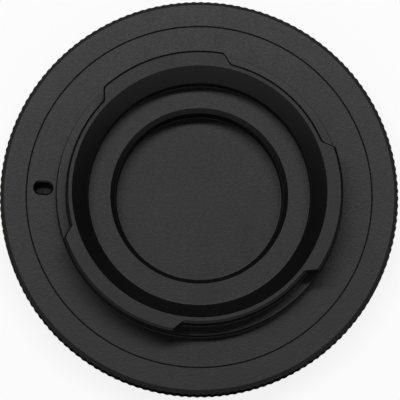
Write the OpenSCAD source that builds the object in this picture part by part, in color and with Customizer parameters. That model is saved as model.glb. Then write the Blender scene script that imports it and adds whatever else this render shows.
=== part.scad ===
// Body cap for a camera with a three-lug bayonet, moulded in one piece.
// It lies on its front face at z = 0, with the bayonet ring upwards.
// The slot for the camera's lock pin is on the -X side.

/* [Rim] */
// Diameter over the crests of the grip teeth
cap_d = 58.3; // [53:0.1:70]
// Thickness of the rim, from the front face to the seat
rim_h = 5; // [4:0.1:9]
// Width and depth of the bevel round the seat
seat_bevel = 0.65; // [0.3:0.05:1]
// Width and depth of the bevel round the front face
front_bevel = 0.4; // [0.3:0.05:1.5]
// Number of grip teeth
tooth_count = 164; // [80:4:220]
// Depth of the grip teeth
tooth_depth = 0.1; // [0.06:0.02:0.26]

/* [Seat] */
// Diameter of the fine line round the seat
line_d = 50.5; // [49.2:0.1:52]
// Width of that line
line_w = 0.22; // [0.1:0.02:0.6]
// Depth of that line
line_depth = 0.2; // [0.1:0.02:0.5]
// Diameter of the low boss that centres the cap
boss_d = 41.6; // [41.4:0.1:42.2]
// Height of the boss above the seat
boss_h = 1.4; // [1:0.05:1.8]
// Rounding of the boss's upper edge
boss_round = 0.1; // [0.05:0.05:0.5]

/* [Bayonet ring] */
// Height of the ring above the seat
ring_h = 4.2; // [3.8:0.1:6]
// Outer diameter of the ring, between the lugs
ring_d = 38.7; // [38.3:0.1:39.2]
// Width and depth of the bevel round the top of the ring and the lugs
ring_bevel = 0.35; // [0.1:0.05:0.4]
// Inner diameter of the ring at its top
bore_top_d = 37; // [35:0.1:37.3]
// Inner diameter of the ring at the lip where its slope ends
bore_lip_d = 32.7; // [31:0.1:34]
// Height of that lip above the seat
bore_lip_h = 1.8; // [1:0.1:2.4]
// Inner diameter of the ring where it meets the floor
bore_foot_d = 32.6; // [30:0.1:34]

/* [Lugs] */
// Diameter over the lugs
lug_d = 41.6; // [40.6:0.1:42]
// Thickness of the lugs, down from the ring's top
lug_t = 1.7; // [1:0.1:2.4]
// Direction of the middle of each lug, in degrees from +X
lug_mid = [355, 109, 232]; // [0:0.5:360]
// Angle that each lug spans, between the middles of its sloping ends
lug_span = [56.6, 56.3, 64.1]; // [40:0.1:70]
// Angle that each sloping end takes up
lug_slope = 5; // [3:0.1:8]

/* [Floor] */
// Height of the floor inside the ring, above the seat
floor_h = 0; // [-0.4:0.05:0.5]
// Diameter of the recess in the floor, at its edge
recess_d = 26; // [20:0.1:29]
// Width and depth of the bevel round the recess
recess_bevel = 0.65; // [0.2:0.05:1]
// Diameter of the recess at its bottom
recess_foot_d = 24.5; // [16:0.1:24.6]
// Depth of the recess below the floor
recess_depth = 3; // [1.5:0.1:3.4]

/* [Lock pin slot] */
// Distance of the slot's middle from the cap's axis
slot_r = 22.8; // [22.7:0.05:22.9]
// Length of the slot, along the radius
slot_l = 3; // [2.4:0.05:3.1]
// Width of the slot
slot_w = 2.2; // [1.6:0.1:2.4]
// Depth of the slot below the seat
slot_depth = 1.6; // [0.5:0.1:3]

/* [Edges] */
// Rounding of the front face's edge
edge_round = 0.15; // [0.05:0.01:0.2]
// Rounding of the inward corners at the foot of each wall
foot_round = 0.3; // [0.1:0.05:0.35]

/* [Hidden] */
$fn = 180;
BLACK_PLASTIC = [0.23, 0.23, 0.235];
// Straight pieces in each rounding, and in each sloping end of a lug
ROUND_STEPS = 4;
SLOPE_STEPS = 8;
// Angle between the points of a lug's unseen inner and outer sides
LUG_STEP = 8;
// Shares of a tooth's pitch: half its crest, and where its valley starts
CREST = 0.14;
VALLEY = 0.36;
// Length by which a cut runs past the face that it opens
PAST = 1;
// Length by which a sloping end runs past the lug's outer edge
SLOPE_PAST = 0.12;

rim_r = cap_d / 2;
boss_r = boss_d / 2;
line_r = line_d / 2;
ring_r = ring_d / 2;
bore_top_r = bore_top_d / 2;
lug_r = lug_d / 2;
recess_r = recess_d / 2;
boss_z = rim_h + boss_h;
ring_z = rim_h + ring_h;
floor_z = rim_h + floor_h;
recess_z = floor_z - recess_depth;

function polar(r, angle) = [r * cos(angle), r * sin(angle)];
function unit(v) = v / norm(v);
function turned(v, angle) =
    [v.x * cos(angle) - v.y * sin(angle), v.x * sin(angle) + v.y * cos(angle)];

// Points that round the corner p, between its neighbours a and b, to radius q
function rounded(a, p, b, q) =
    let (to_a = unit(a - p))
    let (to_b = unit(b - p))
    let (half = acos(to_a * to_b) / 2)
    let (centre = p + unit(to_a + to_b) * q / sin(half))
    let (start = p + to_a * q / tan(half) - centre)
    let (sweep = -sign(cross(to_a, to_b)) * (180 - 2 * half))
    [for (i = [0:ROUND_STEPS]) centre + turned(start, sweep * i / ROUND_STEPS)];

// Half of the section through the axis, as radius, height and rounding of each corner
SECTION = [
    [0, 0, 0],
    [rim_r - front_bevel, 0, edge_round],
    [rim_r, front_bevel, edge_round],
    [rim_r, rim_h - seat_bevel, 0],
    [rim_r - seat_bevel, rim_h, 0],
    [line_r + line_w / 2, rim_h, 0],
    [line_r, rim_h - line_depth, 0],
    [line_r - line_w / 2, rim_h, 0],
    [boss_r, rim_h, foot_round],
    [boss_r, boss_z, boss_round],
    [ring_r, boss_z, foot_round],
    [ring_r, ring_z - ring_bevel, 0],
    [ring_r - ring_bevel, ring_z, 0],
    [bore_top_r, ring_z, 0],
    [bore_lip_d / 2, rim_h + bore_lip_h, 0],
    [bore_foot_d / 2, floor_z, foot_round],
    [recess_r, floor_z, 0],
    [recess_r - recess_bevel, floor_z - recess_bevel, 0],
    [recess_foot_d / 2, recess_z, foot_round],
    [0, recess_z, 0]];

module section() {
    function at(i) = [SECTION[i].x, SECTION[i].y];
    last = len(SECTION) - 1;
    polygon([for (i = [0:last])
        each SECTION[i].z == 0
            ? [at(i)]
            : rounded(at(i - 1), at(i), at(i + 1), SECTION[i].z)]);
}

// Outline of the rim, with its grip teeth
module toothed_disc() {
    pitch = 360 / tooth_count;
    root_r = rim_r - tooth_depth;
    polygon([for (i = [0:tooth_count - 1]) each [
        polar(rim_r, (i - CREST) * pitch),
        polar(rim_r, (i + CREST) * pitch),
        polar(root_r, (i + VALLEY) * pitch),
        polar(root_r, (i + 1 - VALLEY) * pitch)]]);
}

// How far a sloping end has risen from the ring to the lug, for t from 0 to 1
function slope(t) = t * t * (2.5 - 1.5 * t);

// Outline of one lug: it starts inside the ring's wall and runs past the lug's outer edge
module lug_outline(mid, span) {
    inner_r = (bore_top_r + ring_r - ring_bevel) / 2;
    outer_r = lug_r + PAST;
    foot = span / 2 + lug_slope / 2;
    crest = span / 2 - lug_slope / 2;
    rise = [for (i = [1:SLOPE_STEPS]) i / SLOPE_STEPS];
    fall = [for (i = [SLOPE_STEPS:-1:1]) i / SLOPE_STEPS];
    across = [-crest:2 * crest / ceil(2 * crest / LUG_STEP):crest + 0.01];
    back = [foot:-2 * foot / ceil(2 * foot / LUG_STEP):-foot - 0.01];
    function height(t) = inner_r + (lug_r + SLOPE_PAST - inner_r) * slope(t);
    polygon([
        for (t = rise) polar(height(t), mid - foot + lug_slope * t),
        for (a = across) polar(outer_r, mid + a),
        for (t = fall) polar(height(t), mid + foot - lug_slope * t),
        for (a = back) polar(inner_r, mid + a)]);
}

// Disc over the lugs, with the bevel at its upper edge
module lug_disc() {
    rotate_extrude()
        polygon([
            [0, 0],
            [lug_r, 0],
            [lug_r, lug_t - ring_bevel],
            [lug_r - ring_bevel, lug_t],
            [0, lug_t]]);
}

module lugs() {
    translate([0, 0, ring_z - lug_t])
        intersection() {
            lug_disc();
            for (i = [0:len(lug_mid) - 1])
                linear_extrude(height = lug_t) lug_outline(lug_mid[i], lug_span[i]);
        }
}

// Blind slot with round ends, open at the seat
module lock_pin_slot() {
    end_r = slot_w / 2;
    straight = slot_l - slot_w;
    translate([-slot_r, 0, rim_h - slot_depth]) {
        for (side = [-1, 1])
            translate([side * straight / 2, 0, 0]) cylinder(r = end_r, h = slot_depth + PAST);
        translate([-straight / 2, -end_r, 0]) cube([straight, slot_w, slot_depth + PAST]);
    }
}

module cap() {
    color(BLACK_PLASTIC)
        difference() {
            union() {
                intersection() {
                    rotate_extrude() section();
                    linear_extrude(height = ring_z) toothed_disc();
                }
                lugs();
            }
            lock_pin_slot();
        }
}

cap();
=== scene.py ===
"""Body cap for a camera: one black moulding, seen from its mount side."""

import math

import bmesh
import bpy
from mathutils import Matrix, Vector


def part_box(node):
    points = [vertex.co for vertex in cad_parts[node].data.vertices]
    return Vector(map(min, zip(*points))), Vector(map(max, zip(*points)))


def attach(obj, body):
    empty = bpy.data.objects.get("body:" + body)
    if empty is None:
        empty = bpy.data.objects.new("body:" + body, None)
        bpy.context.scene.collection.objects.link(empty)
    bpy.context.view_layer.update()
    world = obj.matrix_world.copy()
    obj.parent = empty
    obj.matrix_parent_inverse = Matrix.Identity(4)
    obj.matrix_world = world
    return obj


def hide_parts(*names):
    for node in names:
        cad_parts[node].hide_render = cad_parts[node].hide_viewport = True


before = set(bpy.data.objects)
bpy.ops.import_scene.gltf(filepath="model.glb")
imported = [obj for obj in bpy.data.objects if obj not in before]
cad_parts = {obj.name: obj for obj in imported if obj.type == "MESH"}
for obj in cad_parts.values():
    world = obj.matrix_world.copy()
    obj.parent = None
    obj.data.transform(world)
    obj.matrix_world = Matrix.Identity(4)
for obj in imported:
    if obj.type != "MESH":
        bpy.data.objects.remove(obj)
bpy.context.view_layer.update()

# The moulding is made in millimetres, and is brought to metres when it is whole
MM = 0.001
# Points closer than this are one point
TINY = 0.001

# Sizes of the moulding, in millimetres
CAP_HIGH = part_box("cap")[1] / MM
RIM_R = CAP_HIGH.x
TOP_Z = CAP_HIGH.z
SEAT_Z = 5
SEAT_BEVEL = 0.65
FRONT_BEVEL = 0.4
TEETH = 164
TOOTH_DEPTH = 0.1
LINE_R = 25.25
LINE_W = 0.22
LINE_DEPTH = 0.2
BOSS_R = 20.8
BOSS_Z = SEAT_Z + 1.4
BOSS_ROUND = 0.1
RING_R = 19.35
RING_BEVEL = 0.35
BORE_TOP_R = 18.5
BORE_LIP_R = 16.35
BORE_LIP_Z = SEAT_Z + 1.8
BORE_FOOT_R = 16.3
LUG_R = 20.8
LUG_T = 1.7
LUG_MIDS = (355, 109, 232)
LUG_SPANS = (56.6, 56.3, 64.1)
LUG_SLOPE = 5
RECESS_R = 13
RECESS_BEVEL = 0.65
RECESS_FOOT_R = 12.25
RECESS_Z = SEAT_Z - 3
SLOT_AT = 22.8
SLOT_L = 3
SLOT_W = 2.2
SLOT_DEPTH = 1.6
SLOT_BEVEL = 0.25
EDGE_ROUND = 0.15
FOOT_ROUND = 0.3
FINE_ROUND = 0.04

# Steps to a tooth round the rim, pieces in a rounding, and segments round the slot
TOOTH_STEPS = 6
ROUND_PIECES = 3
SLOT_SEGMENTS = 48
# Edges that turn by more than this aren't smoothed over
SHARP_ANGLE = math.radians(40)
# Shares of a tooth's pitch where its crest ends and where its valley starts
CREST = 0.14
VALLEY = 0.36

# The photograph's view: its lean from the cap's axis, the side it leans to, and where up points
VIEW_LEAN = math.radians(9.68)
VIEW_LEANS_TO = math.radians(267.8)
VIEW_UP = math.radians(92.8)
# Its distance from the seat and its sensor's width, in millimetres
VIEW_DISTANCE = 435
SENSOR = 36
# Size of the photograph, its scale at the seat, and the pixel where the cap's axis meets the seat
FRAME_PIXELS = 400
PIXELS_PER_MM = 6.85
AXIS_PIXEL = (199.3, 195.45)

# Colours of the plastic: the grain's dark and pale spots, the upright walls, which are painted darker
# as painted shade, and the outer edges
GRAIN_DARK = (0.006, 0.006, 0.0062, 1)
GRAIN_PALE = (0.014, 0.014, 0.0144, 1)
WALL_PAINTED_SHADE = (0.0015, 0.0015, 0.0016, 1)
EDGE_COLOUR = (0.01, 0.01, 0.0103, 1)
# Roughness of the walls, and how the other places differ from them
WALL_ROUGHNESS = 0.3
FLATS_ROUGHER = 0.295
EDGES_ROUGHER = 0.3
CROWN_ROUGHER = 0.055
RIM_SMOOTHER = 0.055
SLOT_SMOOTHER = 0.315
# Spread of the roughness over the grain's spots and over the slow drift
GRAIN_SPREAD = 0.3
DRIFT_SPREAD = 0.1
# Width of the grain's spots and of the drift's, and height of the grain, in millimetres
GRAIN_SIZE = 0.32
DRIFT_SIZE = 5
GRAIN_HEIGHT = 0.03
# Height of a face's normal, from a wall's to a flat face's
FLAT_NORMALS = (0.8, 0.98)
# Heights from the seat's finish to the crown's, and radii from the recess's to the rim's
CROWN_HEIGHTS = (7, 9)
RIM_RADII = (12, 31)
# Heights and radii that hold the slot's floor alone
SLOT_HEIGHTS = (3, 4.7)
SLOT_RADII = (20.9, 24.7)
# The outer edges, which are the fine line's and the rim's bevel, lie past these
EDGES_PAST_R = 24.8
EDGES_PAST_Z = 4.3
# Width over which the finish changes at the end of such a place
SOFT_END = 0.1

# Colour of the paper floor, seen and in gloss, where it is painted dark as painted shade for the
# cap's reflections, and how much of it is shown plain white
PAPER = (0.8, 0.8, 0.8, 1)
PAPER_PAINTED_DARK_IN_GLOSS = (0.015, 0.015, 0.015, 1)
PAPER_SHOWN_WHITE = 0.85
WHITE = (1, 1, 1, 1)
# Half of the floor's width, in metres
FLOOR_HALF = 1.5
# Strength of the room's even light
EVEN_LIGHT = 0.45
# Strength of the horizon that gloss mirrors, on -Y and on +Y, and the heights where it fades
HORIZON_FRONT = 0.42
HORIZON_BACK = 0.08
HORIZON_FADES = (0.3, 0.65)


class Value:
    """A number or vector in a node tree, with arithmetic that adds the nodes."""

    def __init__(self, tree, socket):
        self.tree = tree
        self.socket = socket

    def _math(self, operation, first, second):
        settings = {"operation": operation}
        return self.tree.node("ShaderNodeMath", settings, {0: first, 1: second})

    def __add__(self, other):
        return self._math("ADD", self, other)

    __radd__ = __add__

    def __sub__(self, other):
        return self._math("SUBTRACT", self, other)

    def __rsub__(self, other):
        return self._math("SUBTRACT", other, self)

    def __mul__(self, other):
        return self._math("MULTIPLY", self, other)

    __rmul__ = __mul__

    def __abs__(self):
        return self.tree.node("ShaderNodeMath", {"operation": "ABSOLUTE"}, {0: self})


class Tree:
    """The node tree of a material or of the world."""

    def __init__(self, owner):
        owner.use_nodes = True
        self.nodes = owner.node_tree.nodes
        self.links = owner.node_tree.links
        self.nodes.clear()

    def node(self, kind, settings=None, inputs=None, output=0):
        made = self.nodes.new(kind)
        for name, setting in (settings or {}).items():
            setattr(made, name, setting)
        for name, given in (inputs or {}).items():
            if isinstance(given, Value):
                self.links.new(given.socket, made.inputs[name])
            else:
                made.inputs[name].default_value = given
        return Value(self, made.outputs[output]) if made.outputs else None

    def step(self, value, low, high):
        """0 below low, 1 above high, and a smooth step between."""
        settings = {"interpolation_type": "SMOOTHSTEP"}
        inputs = {"Value": value, "From Min": low, "From Max": high}
        return self.node("ShaderNodeMapRange", settings, inputs)

    def past(self, value, limit):
        """0 below the limit and 1 past it, with a soft end."""
        return self.step(value, limit, limit + SOFT_END)

    def within(self, value, low, high):
        """1 between low and high and 0 elsewhere, with soft ends."""
        return self.past(value, low) * (1 - self.past(value, high))

    def blend(self, factor, first, second):
        """The colour first where factor is 0 and second where it is 1."""
        settings = {"data_type": "RGBA"}
        # Numbers of the node's colour sockets
        colour_a, colour_b, result = 6, 7, 2
        inputs = {0: factor, colour_a: first, colour_b: second}
        return self.node("ShaderNodeMix", settings, inputs, result)

    def noise(self, place, size, detail=2.0, roughness=0.5):
        """Noise from 0 to 1 whose spots are about size across, in millimetres."""
        inputs = {"Vector": place, "Scale": 1 / (size * MM), "Detail": detail, "Roughness": roughness}
        return self.node("ShaderNodeTexNoise", None, inputs)


def half_section():
    """Corners of the section where a lug stands, as radius, height and rounding."""
    under_z = TOP_Z - LUG_T
    return [
        (0, 0, 0),
        (RIM_R - FRONT_BEVEL, 0, EDGE_ROUND),
        (RIM_R, FRONT_BEVEL, EDGE_ROUND),
        (RIM_R, SEAT_Z - SEAT_BEVEL, FINE_ROUND),
        (RIM_R - SEAT_BEVEL, SEAT_Z, FINE_ROUND),
        (LINE_R + LINE_W / 2, SEAT_Z, FINE_ROUND),
        (LINE_R, SEAT_Z - LINE_DEPTH, 0),
        (LINE_R - LINE_W / 2, SEAT_Z, FINE_ROUND),
        (BOSS_R, SEAT_Z, FOOT_ROUND),
        (BOSS_R, BOSS_Z, BOSS_ROUND),
        (RING_R, BOSS_Z, FOOT_ROUND),
        (RING_R, under_z, EDGE_ROUND),
        (LUG_R, under_z, EDGE_ROUND),
        (LUG_R, TOP_Z - RING_BEVEL, FINE_ROUND),
        (LUG_R - RING_BEVEL, TOP_Z, FINE_ROUND),
        (BORE_TOP_R, TOP_Z, FINE_ROUND),
        (BORE_LIP_R, BORE_LIP_Z, FINE_ROUND),
        (BORE_FOOT_R, SEAT_Z, FOOT_ROUND),
        (RECESS_R, SEAT_Z, FINE_ROUND),
        (RECESS_R - RECESS_BEVEL, SEAT_Z - RECESS_BEVEL, FINE_ROUND),
        (RECESS_FOOT_R, RECESS_Z, FOOT_ROUND),
        (0, RECESS_Z, 0),
    ]


def round_corners(bm, corners):
    """Rounds each corner of the section by an arc of its own radius."""
    places = [Vector((r, 0, z)) for r, z, radius in corners]
    for i, (r, z, radius) in enumerate(corners):
        if radius:
            half_angle = (places[i - 1] - places[i]).angle(places[i + 1] - places[i]) / 2
            corner = min(bm.verts, key=lambda v: (v.co - places[i]).length)
            bmesh.ops.bevel(
                bm,
                geom=[corner],
                offset=radius / math.tan(half_angle),
                offset_type="OFFSET",
                segments=ROUND_PIECES,
                profile=0.5,
                affect="VERTICES",
                material=-1,
            )


def section_outline(bm):
    """The section's points in order, from the middle of the front face."""
    start = min(bm.verts, key=lambda v: (v.co.x, v.co.z))
    ordered = [start]
    edge = start.link_edges[0]
    while edge:
        ordered.append(edge.other_vert(ordered[-1]))
        edge = next((e for e in ordered[-1].link_edges if e != edge), None)
    return ordered


def note_plain_ring(bm):
    """Notes where each point of the lug's outline lies on the plain ring between the lugs."""
    between = bm.verts.layers.float_vector.new("between")
    ordered = section_outline(bm)
    for v in ordered:
        v[between] = v.co
    lowest = TOP_Z - LUG_T - EDGE_ROUND - TINY
    lug = [v for v in ordered if v.co.x > RING_R + TINY and v.co.z > lowest]
    crown = [v for v in lug if v.co.z > TOP_Z - RING_BEVEL - FINE_ROUND]
    for v in crown:
        v[between] = v.co - Vector((LUG_R - RING_R, 0, 0))
    side = lug[: -len(crown)]
    foot = ordered[ordered.index(lug[0]) - 1].co
    for i, v in enumerate(side, 1):
        v[between] = foot.lerp(crown[0][between], i / (len(side) + 1))
    return between


def turn_section(bm):
    """Turns the section through a quarter and mirrors that twice."""
    bmesh.ops.spin(
        bm,
        geom=bm.verts[:] + bm.edges[:],
        cent=(0, 0, 0),
        axis=(0, 0, 1),
        angle=math.pi / 2,
        steps=TEETH * TOOTH_STEPS // 4,
    )
    for axis in ("X", "Y"):
        everything = bm.verts[:] + bm.edges[:] + bm.faces[:]
        bmesh.ops.mirror(bm, geom=everything, axis=axis, merge_dist=-1)
    bmesh.ops.remove_doubles(bm, verts=bm.verts[:], dist=TINY)


def clamped(t):
    return min(max(t, 0), 1)


def slope_rise(t):
    """How far a lug's sloping end has risen, from 0 to 1, as t goes from 0 to 1."""
    return t * t * (2.5 - 1.5 * t)


def lug_share(angle):
    """How much of a lug stands at an angle, in degrees: 0 between lugs, 1 on a lug."""
    share = 0
    for middle, span in zip(LUG_MIDS, LUG_SPANS):
        away = abs((angle - middle + 180) % 360 - 180)
        t = clamped((span / 2 + LUG_SLOPE / 2 - away) / LUG_SLOPE)
        share = max(share, slope_rise(t))
    return share


def tooth_cut(angle):
    """Depth of the grip below its crests at an angle, in degrees."""
    phase = abs((angle * TEETH / 360 + 0.5) % 1 - 0.5)
    t = clamped((phase - CREST) / (VALLEY - CREST))
    return TOOTH_DEPTH * t * t * (3 - 2 * t)


def angle_of(v):
    return math.degrees(math.atan2(v.co.y, v.co.x))


def form_lugs(bm, between):
    """Leaves the lugs standing only where they belong, with sloping ends."""
    for v in bm.verts:
        radius = math.hypot(v.co.x, v.co.y)
        ring_r, ring_z = v[between].x, v[between].z
        if abs(radius - ring_r) + abs(v.co.z - ring_z) > TINY:
            share = lug_share(angle_of(v))
            scale = (ring_r + (radius - ring_r) * share) / radius
            v.co.x *= scale
            v.co.y *= scale
            v.co.z = ring_z + (v.co.z - ring_z) * share


def form_teeth(bm):
    """Sinks the valleys between the teeth, which run out on both bevels of the rim."""
    for v in bm.verts:
        radius = math.hypot(v.co.x, v.co.y)
        if radius > RIM_R - TOOTH_DEPTH:
            cut = tooth_cut(angle_of(v))
            v.co.x *= 1 - cut / radius
            v.co.y *= 1 - cut / radius
            v.co.z += math.copysign(cut, v.co.z - SEAT_Z / 2)


def made_object(bm, name):
    bmesh.ops.recalc_face_normals(bm, faces=bm.faces[:])
    for face in bm.faces:
        face.smooth = True
    mesh = bpy.data.meshes.new(name)
    bm.to_mesh(mesh)
    bm.free()
    made = bpy.data.objects.new(name, mesh)
    bpy.context.scene.collection.objects.link(made)
    return made


def slot_body():
    """The space in the blind slot for the lock pin, whose bevelled mouth runs on above the seat."""
    bm = bmesh.new()
    narrow = SLOT_W / 2 - SLOT_BEVEL
    bmesh.ops.create_circle(bm, segments=SLOT_SEGMENTS, radius=narrow, cap_ends=True)
    raised = bmesh.ops.extrude_face_region(bm, geom=bm.faces[:])
    neck = [e for e in raised["geom"] if isinstance(e, bmesh.types.BMVert)]
    bmesh.ops.translate(bm, verts=neck, vec=(0, 0, SLOT_DEPTH - SLOT_BEVEL))
    top = [e for e in raised["geom"] if isinstance(e, bmesh.types.BMFace)]
    flared = bmesh.ops.extrude_face_region(bm, geom=top)
    bmesh.ops.delete(bm, geom=top, context="FACES_ONLY")
    mouth = [e for e in flared["geom"] if isinstance(e, bmesh.types.BMVert)]
    flare = 2 * SLOT_BEVEL
    for v in mouth:
        v.co.x *= 1 + flare / narrow
        v.co.y *= 1 + flare / narrow
        v.co.z += flare
    for v in bm.verts:
        v.co.x += math.copysign((SLOT_L - SLOT_W) / 2, v.co.x)
    bmesh.ops.translate(bm, verts=bm.verts[:], vec=(-SLOT_AT, 0, SEAT_Z - SLOT_DEPTH))
    return made_object(bm, "slot_body")


def apply_modifiers(made):
    graph = bpy.context.evaluated_depsgraph_get()
    mesh = bpy.data.meshes.new_from_object(made.evaluated_get(graph))
    made.modifiers.clear()
    made.data = mesh


def finish_in_metres(cap):
    """Cuts the slot, keeps flat faces flat in the shading, and brings the cap to metres."""
    slot = slot_body()
    cut = cap.modifiers.new("slot", "BOOLEAN")
    cut.operation = "DIFFERENCE"
    cut.solver = "EXACT"
    cut.object = slot
    apply_modifiers(cap)
    bpy.data.objects.remove(slot)
    cap.data.set_sharp_from_angle(angle=SHARP_ANGLE)
    weighted = cap.modifiers.new("flat_faces_stay_flat", "WEIGHTED_NORMAL")
    weighted.keep_sharp = True
    apply_modifiers(cap)
    cap.data.transform(Matrix.Scale(MM, 4))


def moulded_cap():
    bm = bmesh.new()
    corners = half_section()
    points = [bm.verts.new((r, 0, z)) for r, z, radius in corners]
    for first, second in zip(points, points[1:]):
        bm.edges.new((first, second))
    round_corners(bm, corners)
    between = note_plain_ring(bm)
    turn_section(bm)
    form_lugs(bm, between)
    form_teeth(bm)
    bm.verts.layers.float_vector.remove(between)
    cap = made_object(bm, "moulded_cap")
    finish_in_metres(cap)
    return cap


def black_plastic():
    """Black plastic with spark-eroded grain on its flat faces, and smoother upright walls whose
    darker colour is painted shade.
    """
    material = bpy.data.materials.new("grained_black_plastic")
    tree = Tree(material)
    place = tree.node("ShaderNodeTexCoord", None, None, "Object")
    height = tree.node("ShaderNodeSeparateXYZ", None, {0: place}, "Z") * (1 / MM)
    level = {0: place, 1: (1 / MM, 1 / MM, 0)}
    flattened = tree.node("ShaderNodeVectorMath", {"operation": "MULTIPLY"}, level)
    radius = tree.node("ShaderNodeVectorMath", {"operation": "LENGTH"}, {0: flattened}, "Value")
    normal = tree.node("ShaderNodeNewGeometry", None, None, "True Normal")
    upward = tree.node("ShaderNodeSeparateXYZ", None, {0: normal}, "Z")

    flat = tree.step(abs(upward), *FLAT_NORMALS)
    crown = tree.step(height, *CROWN_HEIGHTS)
    rim = tree.step(radius, *RIM_RADII)
    in_slot = tree.within(height, *SLOT_HEIGHTS) * tree.within(radius, *SLOT_RADII)
    edges = tree.past(radius, EDGES_PAST_R) * tree.past(height, EDGES_PAST_Z) * (1 - flat)
    grain = tree.noise(place, GRAIN_SIZE, detail=2.0, roughness=0.7)
    drift = tree.noise(place, DRIFT_SIZE, detail=3.0, roughness=0.6)

    grained = tree.blend(grain, GRAIN_DARK, GRAIN_PALE)
    # The upright walls are painted darker than the flat faces, as painted shade, while the outer
    # edges stay paler
    plain = tree.blend(edges, WALL_PAINTED_SHADE, EDGE_COLOUR)
    colour = tree.blend(flat, plain, grained)
    uneven = GRAIN_SPREAD * (grain - 0.5) + DRIFT_SPREAD * (drift - 0.5)
    rougher = FLATS_ROUGHER + CROWN_ROUGHER * crown - RIM_SMOOTHER * rim - SLOT_SMOOTHER * in_slot
    roughness = WALL_ROUGHNESS + EDGES_ROUGHER * edges + flat * (rougher + uneven)
    bump = {"Strength": 1, "Distance": GRAIN_HEIGHT * MM, "Height": grain * flat * (1 - in_slot)}
    relief = tree.node("ShaderNodeBump", None, bump)

    finish = {"Base Color": colour, "Roughness": roughness, "Normal": relief}
    surface = tree.node("ShaderNodeBsdfPrincipled", None, finish)
    tree.node("ShaderNodeOutputMaterial", None, {"Surface": surface})
    return material


def white_floor():
    """White paper, which the camera sees as white with a faint shadow, and which is painted dark in
    gloss: painted shade in the cap's reflections.
    """
    material = bpy.data.materials.new("white_paper")
    tree = Tree(material)
    mirrored = tree.node("ShaderNodeLightPath", None, None, "Is Glossy Ray")
    # In gloss the paper is painted dark: painted shade, which the cap's sides reflect
    sheet = tree.blend(mirrored, PAPER, PAPER_PAINTED_DARK_IN_GLOSS)
    paper = tree.node("ShaderNodeBsdfDiffuse", None, {"Color": sheet})
    white = tree.node("ShaderNodeEmission", None, {"Color": WHITE, "Strength": 1.0})
    seen = tree.node("ShaderNodeLightPath", None, None, "Is Camera Ray")
    shown = tree.node("ShaderNodeMixShader", None, {0: PAPER_SHOWN_WHITE * seen, 1: paper, 2: white})
    tree.node("ShaderNodeOutputMaterial", None, {"Surface": shown})
    return material


def studio_world():
    """A white room for the camera, an even light, and in gloss a horizon that is brightest on -Y."""
    world = bpy.data.worlds.new("studio")
    bpy.context.scene.world = world
    tree = Tree(world)
    direction = tree.node("ShaderNodeTexCoord", None, None, "Generated")
    height = tree.node("ShaderNodeSeparateXYZ", None, {0: direction}, "Z")
    back = tree.node("ShaderNodeSeparateXYZ", None, {0: direction}, "Y")
    low = 1 - tree.step(height, *HORIZON_FADES)
    horizon = low * (HORIZON_FRONT - (HORIZON_FRONT - HORIZON_BACK) * tree.step(back, -1, 1))
    seen = tree.node("ShaderNodeLightPath", None, None, "Is Camera Ray")
    mirrored = tree.node("ShaderNodeLightPath", None, None, "Is Glossy Ray")
    strength = seen + (1 - seen) * (EVEN_LIGHT * (1 - mirrored) + mirrored * horizon)
    light = tree.node("ShaderNodeBackground", None, {"Color": WHITE, "Strength": strength})
    tree.node("ShaderNodeOutputWorld", None, {"Surface": light})


def softbox(name, azimuth, elevation, distance, size, power):
    """A rectangular lamp that faces the cap, with its long side level: degrees, metres and watts."""
    lamp = bpy.data.lights.new(name, "AREA")
    lamp.shape = "RECTANGLE"
    lamp.size, lamp.size_y = size
    lamp.energy = power
    made = bpy.data.objects.new(name, lamp)
    bpy.context.scene.collection.objects.link(made)
    around, up = math.radians(azimuth), math.radians(elevation)
    away = Vector((math.cos(around) * math.cos(up), math.sin(around) * math.cos(up), math.sin(up)))
    place = Matrix.Translation(Vector((0, 0, SEAT_Z * MM)) + away * distance)
    made.matrix_world = place @ away.to_track_quat("Z", "Y").to_matrix().to_4x4()


def camera():
    """The photograph's camera, which leans a little from the cap's axis."""
    data = bpy.data.cameras.new("camera")
    data.sensor_width = SENSOR
    data.lens = VIEW_DISTANCE * PIXELS_PER_MM / FRAME_PIXELS * SENSOR
    data.clip_start = 0.05
    made = bpy.data.objects.new("camera", data)
    bpy.context.scene.collection.objects.link(made)
    turn = Matrix.Rotation(VIEW_UP - math.pi / 2, 4, "Z")
    across = Vector((-math.sin(VIEW_LEANS_TO), math.cos(VIEW_LEANS_TO), 0))
    lean = Matrix.Rotation(VIEW_LEAN, 4, across)
    right = (FRAME_PIXELS / 2 - AXIS_PIXEL[0]) / PIXELS_PER_MM
    up = (AXIS_PIXEL[1] - FRAME_PIXELS / 2) / PIXELS_PER_MM / math.cos(VIEW_LEAN)
    target = turn @ Vector((right, up, SEAT_Z)) * MM
    back = Matrix.Translation((0, 0, VIEW_DISTANCE * MM))
    made.matrix_world = Matrix.Translation(target) @ lean @ turn @ back
    bpy.context.scene.camera = made


def floor():
    bm = bmesh.new()
    bmesh.ops.create_grid(bm, x_segments=1, y_segments=1, size=FLOOR_HALF)
    made = made_object(bm, "floor")
    made.data.materials.append(white_floor())


cap = moulded_cap()
cap.data.materials.clear()
cap.data.materials.append(black_plastic())
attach(cap, "root")
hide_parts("cap")

floor()
studio_world()
softbox("key", azimuth=99, elevation=62, distance=0.6, size=(0.8, 0.09), power=2.85)
camera()
bpy.context.scene.view_settings.view_transform = "Standard"
